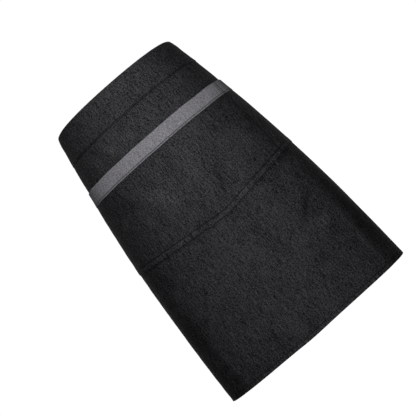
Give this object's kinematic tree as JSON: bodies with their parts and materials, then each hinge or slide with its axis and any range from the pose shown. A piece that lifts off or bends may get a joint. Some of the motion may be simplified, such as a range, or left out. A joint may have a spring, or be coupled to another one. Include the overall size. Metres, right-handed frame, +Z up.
{
  "type": "waist apron",
  "caption": "Half-length denim waist apron in its worn form, with a folded waistband, a wide patch pocket with a V bottom, a contrast band at the pocket's mouth and ties knotted behind.",
  "frame": {"origin": "middle of the waist, at half the waistband's height", "axes": "+Z up along the wearer, -Y out of the front, +X to the right as seen from the front"},
  "size_m": [0.3996, 0.2297, 0.5617],
  "materials": {
    "denim": "matt heathered black denim",
    "band_cloth": "matt grey chambray"
  },
  "bodies": {
    "root": {"skirt_panel": "denim", "waistband": "denim", "pocket": "denim", "contrast_band": "band_cloth", "tie_left": "denim", "tie_right": "denim", "tie_knot": "denim"}
  },
  "joints": []
}
